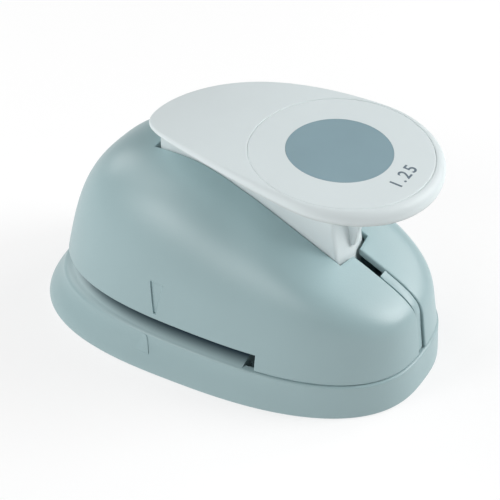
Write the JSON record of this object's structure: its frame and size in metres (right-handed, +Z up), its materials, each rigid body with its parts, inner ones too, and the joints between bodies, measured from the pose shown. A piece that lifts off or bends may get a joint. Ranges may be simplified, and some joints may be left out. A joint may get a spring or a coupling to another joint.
{
  "type": "circle craft punch",
  "caption": "Hand-operated circle punch with a flared base, a domed body, a white thumb lever that drives a round cutter through a die, and a paper slot round three sides.",
  "frame": {"origin": "middle of the base's footprint, on the table", "axes": "+X along the length towards the thumb pad, +Z up, and -Y is the side that carries the alignment marks"},
  "size_m": [0.1345, 0.0854, 0.0766],
  "materials": {
    "body_plastic": "fine satin moulded texture, blue-grey",
    "lever_plastic": "smooth satin, off-white",
    "disc_colour": "satin slate-blue insert",
    "dark_plastic": "dark moulded bearing plastic",
    "sheet_steel": "zinc-plated pressed sheet",
    "tool_steel": "ground tool steel",
    "spring_steel": "drawn spring wire and spring sheet",
    "screw_steel": "plated screw"
  },
  "bodies": {
    "root": {"base": "body_plastic", "body_shell": "body_plastic", "front_spine": "body_plastic", "pivot_bush_left": "dark_plastic", "pivot_bush_right": "dark_plastic", "throat_spacer": "sheet_steel", "guide_plate": "sheet_steel", "pivot_bracket": "sheet_steel", "die_plate": "tool_steel", "pivot_pin": "tool_steel", "guide_post_left": "tool_steel", "guide_post_right": "tool_steel", "return_spring_left": "spring_steel", "return_spring_right": "spring_steel", "pivot_clip_left": "spring_steel", "pivot_clip_right": "spring_steel", "throat_screw_left": "screw_steel", "throat_screw_right": "screw_steel", "die_screw_left": "screw_steel", "die_screw_right": "screw_steel", "front_shell_screw_left": "screw_steel", "front_shell_screw_right": "screw_steel", "rear_shell_screw_left": "screw_steel", "rear_shell_screw_right": "screw_steel", "bracket_screw_left": "screw_steel", "bracket_screw_right": "screw_steel", "spine_screw": "screw_steel"},
    "lever": {"lever_handle": "lever_plastic", "pad_inlay": "lever_plastic", "size_disc": "disc_colour", "press_pin": "tool_steel"},
    "plunger": {"plunger": "dark_plastic", "cutter": "tool_steel", "cutter_screw_left": "screw_steel", "cutter_screw_right": "screw_steel"}
  },
  "joints": [
    {"name": "lever_press", "type": "hinge", "parent": "root", "child": "lever", "pos_m": [-0.027, 0, 0.05], "axis": [0, 1, 0], "range_deg": [0, 20], "stiffness_Nm_per_rad": 0.73, "springref_deg": -16.39},
    {"name": "plunger_slide", "type": "slide", "parent": "root", "child": "plunger", "axis": [0, 0, -1], "range_m": [0, 0.0061], "deforming": ["return_spring_left", "return_spring_right"]}
  ],
  "couplings": [
    {"joint": "plunger_slide", "follows": "lever_press", "m_per_rad": 0.01741}
  ]
}
